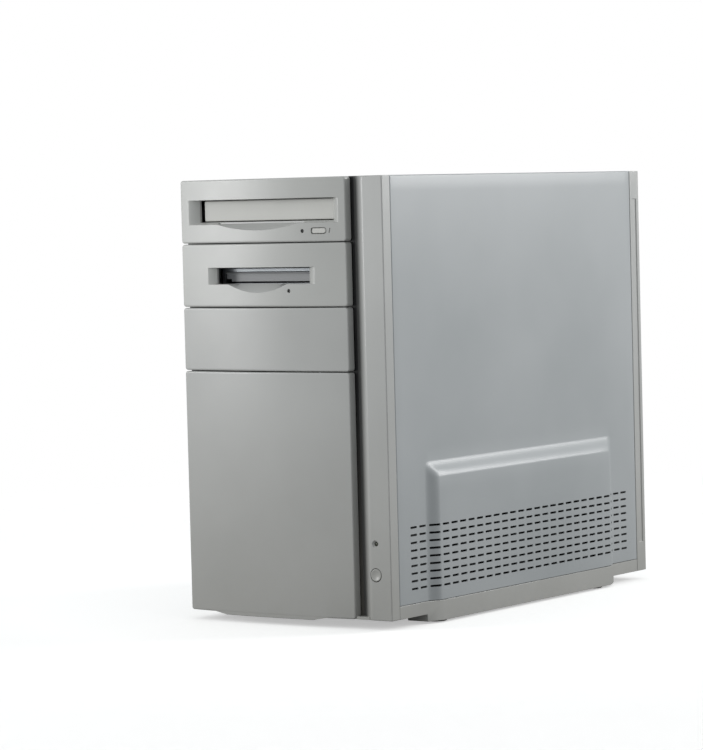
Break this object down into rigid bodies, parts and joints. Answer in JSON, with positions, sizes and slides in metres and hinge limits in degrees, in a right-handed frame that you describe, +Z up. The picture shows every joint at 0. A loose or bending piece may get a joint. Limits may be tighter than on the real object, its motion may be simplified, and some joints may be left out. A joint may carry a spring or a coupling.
{
  "type": "desktop computer tower",
  "caption": "Light grey desktop computer tower with disc and floppy drive fascias, side power button, vented raised side covers and a full set of inner parts.",
  "frame": {"origin": "on the standing surface, under the middle of the tower's bounding box", "axes": "+Z up, -Y out of the front with the drives, +X to the right seen from the front, the side of the power button"},
  "size_m": [0.217, 0.409, 0.368],
  "materials": {
    "case_plastic": "fine-textured moulded ABS, light warm grey",
    "cover_paint": "semi-gloss powder-coated steel, light blue-grey",
    "zinc_steel": "zinc-plated steel sheet",
    "plated_steel": "bright nickel plating",
    "cast_aluminium": "die-cast, matt",
    "extruded_aluminium": "extruded, satin",
    "brass_plating": "turned",
    "black_plastic": "moulded, satin",
    "grey_plastic": "moulded, satin",
    "circuit_board": "green solder mask",
    "ceramic_package": "matt chip package",
    "led_lens": "tinted clear lens",
    "ribbon_grey": "flat ribbon cable",
    "wire_insulation": "PVC insulation",
    "lead_insulation": "PVC insulation",
    "foot_rubber": "matt rubber"
  },
  "bodies": {
    "tower": {"front_bezel": "case_plastic", "cd_fascia": "case_plastic", "floppy_fascia": "case_plastic", "blank_fascia": "case_plastic", "lower_fascia": "case_plastic", "power_led": "led_lens", "front_switch_board": "circuit_board", "base_pan": "zinc_steel", "rear_panel": "zinc_steel", "front_frame": "zinc_steel", "board_tray": "zinc_steel", "top_brace": "zinc_steel", "top_cover": "cover_paint", "rear_surround": "case_plastic", "base_skirt": "case_plastic", "feet": "foot_rubber", "bay_cage": "zinc_steel", "hard_drive_cage": "zinc_steel", "cd_drive_case": "zinc_steel", "cd_mechanism": "zinc_steel", "floppy_drive_case": "zinc_steel", "floppy_bracket": "zinc_steel", "drive_leds": "led_lens", "hard_drive": "cast_aluminium", "psu_case": "zinc_steel", "psu_board": "circuit_board", "psu_fan_frame": "black_plastic", "psu_fan_grille": "plated_steel", "power_inlet": "black_plastic", "power_switch_housing": "black_plastic", "motherboard": "circuit_board", "cpu": "ceramic_package", "heatsink": "extruded_aluminium", "cpu_fan_frame": "black_plastic", "memory_modules": "circuit_board", "graphics_card": "circuit_board", "network_card": "circuit_board", "slot_covers": "zinc_steel", "io_shield": "zinc_steel", "io_ports": "plated_steel", "coin_cell": "plated_steel", "board_standoffs": "brass_plating", "board_screws": "plated_steel", "rear_fan_frame": "black_plastic", "drive_ribbons": "ribbon_grey", "power_harness": "wire_insulation", "front_leads": "lead_insulation", "speaker": "black_plastic", "case_screws": "plated_steel"},
    "disc_tray": {"cd_tray": "black_plastic", "cd_tray_front": "case_plastic"},
    "eject_button": {"cd_eject_button": "case_plastic"},
    "disk_flap": {"floppy_flap": "grey_plastic"},
    "power_button": {"power_button": "case_plastic"},
    "right_side_cover": {"right_cover": "cover_paint"},
    "left_side_cover": {"left_cover": "cover_paint"},
    "supply_fan_rotor": {"psu_fan_rotor": "black_plastic"},
    "processor_fan_rotor": {"cpu_fan_rotor": "black_plastic"},
    "chassis_fan_rotor": {"rear_fan_rotor": "black_plastic"},
    "mains_rocker": {"power_rocker": "black_plastic"}
  },
  "joints": [
    {"name": "cd_tray_slide", "type": "slide", "parent": "tower", "child": "disc_tray", "axis": [0, -1, 0], "range_m": [0, 0.13]},
    {"name": "cd_eject_press", "type": "slide", "parent": "tower", "child": "eject_button", "axis": [0, 1, 0], "range_m": [0, 0.001], "stiffness_N_per_m": 400},
    {"name": "floppy_flap_swing", "type": "hinge", "parent": "tower", "child": "disk_flap", "pos_m": [-0.01885, -0.1857, 0.2901], "axis": [1, 0, 0], "range_deg": [0, 80], "stiffness_Nm_per_rad": 0.004},
    {"name": "power_button_press", "type": "slide", "parent": "tower", "child": "power_button", "axis": [0, 1, 0], "range_m": [0, 0.003], "stiffness_N_per_m": 400},
    {"name": "right_cover_off", "type": "slide", "parent": "tower", "child": "right_side_cover", "axis": [1, 0, 0], "range_m": [0, 0.08]},
    {"name": "left_cover_off", "type": "slide", "parent": "tower", "child": "left_side_cover", "axis": [-1, 0, 0], "range_m": [0, 0.08]},
    {"name": "psu_fan_spin", "type": "hinge", "parent": "tower", "child": "supply_fan_rotor", "pos_m": [-0.021, 0.18, 0.319], "axis": [0, 1, 0], "continuous": true},
    {"name": "cpu_fan_spin", "type": "hinge", "parent": "tower", "child": "processor_fan_rotor", "pos_m": [0.03, 0.06, 0.203], "axis": [1, 0, 0], "continuous": true},
    {"name": "rear_fan_spin", "type": "hinge", "parent": "tower", "child": "chassis_fan_rotor", "pos_m": [-0.045, 0.18, 0.22], "axis": [0, 1, 0], "continuous": true},
    {"name": "mains_switch_rock", "type": "hinge", "parent": "tower", "child": "mains_rocker", "pos_m": [0.045, 0.1902, 0.301], "axis": [0, 0, 1], "range_deg": [-16, 0]}
  ]
}
